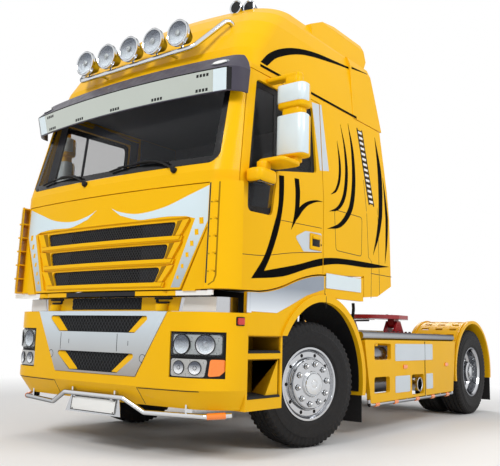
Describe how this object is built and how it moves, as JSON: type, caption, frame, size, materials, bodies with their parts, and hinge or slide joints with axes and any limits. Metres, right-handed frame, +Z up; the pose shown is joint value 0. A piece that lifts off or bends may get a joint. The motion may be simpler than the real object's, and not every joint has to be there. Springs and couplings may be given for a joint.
{
  "type": "semi truck tractor unit",
  "caption": "Cab-over tractor unit with a high-roof sleeper cab, twin rear wheels, fifth wheel, side skirts and fairings; tows a semi-trailer.",
  "frame": {"origin": "on the floor, at the middle of the overall length and width", "axes": "+X to the truck's left, -Y to its front, +Z up"},
  "size_m": [3.12, 5.8957, 4],
  "materials": {
    "paint": "gloss",
    "frame_grey": "satin",
    "tyre": "matte",
    "polished": "polished",
    "glass": "clear",
    "black_plastic": "matte",
    "red_iron": "painted",
    "lamp_red": "gloss",
    "seat_cloth": "woven"
  },
  "bodies": {
    "chassis": {"frame_rails": "frame_grey", "crossmembers": "frame_grey", "engine_block": "frame_grey", "front_axle_beam": "frame_grey", "rear_axle": "frame_grey", "front_springs": "frame_grey", "air_bellows": "black_plastic", "fuel_tank": "polished", "silencer": "polished", "deck_plate": "frame_grey", "bumper": "paint", "bumper_panel": "polished", "bumper_mesh": "black_plastic", "headlamps": "black_plastic", "front_band": "polished", "lower_bar": "polished", "step_boxes": "paint", "front_fenders": "paint", "sill_trims": "polished", "side_skirts": "paint", "skirt_rails": "polished", "rear_mudguards": "paint", "mudflaps": "black_plastic", "tail_beam": "frame_grey", "tail_lamps": "lamp_red", "fifth_wheel_base": "frame_grey"},
    "cab": {"cab_front_frame": "paint", "cab_sides": "paint", "cab_back_wall": "paint", "cab_floor": "paint", "roof": "paint", "roof_fairing": "paint", "side_fairings": "paint", "windscreen": "glass", "corner_deflectors": "paint", "sun_visor": "black_plastic", "light_bar": "polished", "horns": "polished", "dashboard": "black_plastic", "seats": "seat_cloth", "steering_wheel": "black_plastic"},
    "grille_flap": {"front_flap": "paint", "grille_mesh": "black_plastic"},
    "door_l": {"door_left": "paint", "door_glass_left": "glass", "mirror_left": "paint"},
    "door_r": {"door_right": "paint", "door_glass_right": "glass", "mirror_right": "paint"},
    "steer_l": {"knuckle_left": "frame_grey"},
    "steer_r": {"knuckle_right": "frame_grey"},
    "wheel_fl": {"front_rim_left": "polished", "front_tyre_left": "tyre"},
    "wheel_fr": {"front_rim_right": "polished", "front_tyre_right": "tyre"},
    "wheel_rl": {"rear_rims_left": "polished", "rear_tyres_left": "tyre"},
    "wheel_rr": {"rear_rims_right": "polished", "rear_tyres_right": "tyre"},
    "fifth_wheel": {"fifth_wheel_plate": "red_iron"}
  },
  "joints": [
    {"name": "cab_tilt", "type": "hinge", "parent": "chassis", "child": "cab", "pos_m": [0, -2.745, 1], "axis": [1, 0, 0], "range_deg": [0, 60]},
    {"name": "grille_flap_lift", "type": "hinge", "parent": "cab", "child": "grille_flap", "pos_m": [0, -2.918, 2.022], "axis": [-1, 0, 0], "range_deg": [0, 70]},
    {"name": "door_left_swing", "type": "hinge", "parent": "cab", "child": "door_l", "pos_m": [1.247, -2.697, 1.76], "axis": [0, 0, -1], "range_deg": [0, 72]},
    {"name": "door_right_swing", "type": "hinge", "parent": "cab", "child": "door_r", "pos_m": [-1.247, -2.697, 1.76], "axis": [0, 0, 1], "range_deg": [0, 72]},
    {"name": "steer_left", "type": "hinge", "parent": "chassis", "child": "steer_l", "pos_m": [0.92, -1.5, 0.522], "axis": [0, 0, 1], "range_deg": [-25, 55]},
    {"name": "steer_right", "type": "hinge", "parent": "chassis", "child": "steer_r", "pos_m": [-0.92, -1.5, 0.522], "axis": [0, 0, 1], "range_deg": [-25, 55]},
    {"name": "spin_front_left", "type": "hinge", "parent": "steer_l", "child": "wheel_fl", "pos_m": [1.03591, -1.53106, 0.522], "axis": [0.9659, -0.2588, 0], "continuous": true},
    {"name": "spin_front_right", "type": "hinge", "parent": "steer_r", "child": "wheel_fr", "pos_m": [-1.03591, -1.46894, 0.522], "axis": [0.9659, -0.2588, 0], "continuous": true},
    {"name": "spin_rear_left", "type": "hinge", "parent": "chassis", "child": "wheel_rl", "pos_m": [0.9, 2.2, 0.522], "axis": [1, 0, 0], "continuous": true},
    {"name": "spin_rear_right", "type": "hinge", "parent": "chassis", "child": "wheel_rr", "pos_m": [-0.9, 2.2, 0.522], "axis": [1, 0, 0], "continuous": true},
    {"name": "fifth_wheel_rock", "type": "hinge", "parent": "chassis", "child": "fifth_wheel", "pos_m": [0, 1.8, 1.11], "axis": [1, 0, 0], "range_deg": [-12, 12]}
  ],
  "couplings": [
    {"joint": "steer_right", "follows": "steer_left", "ratio": 1}
  ]
}
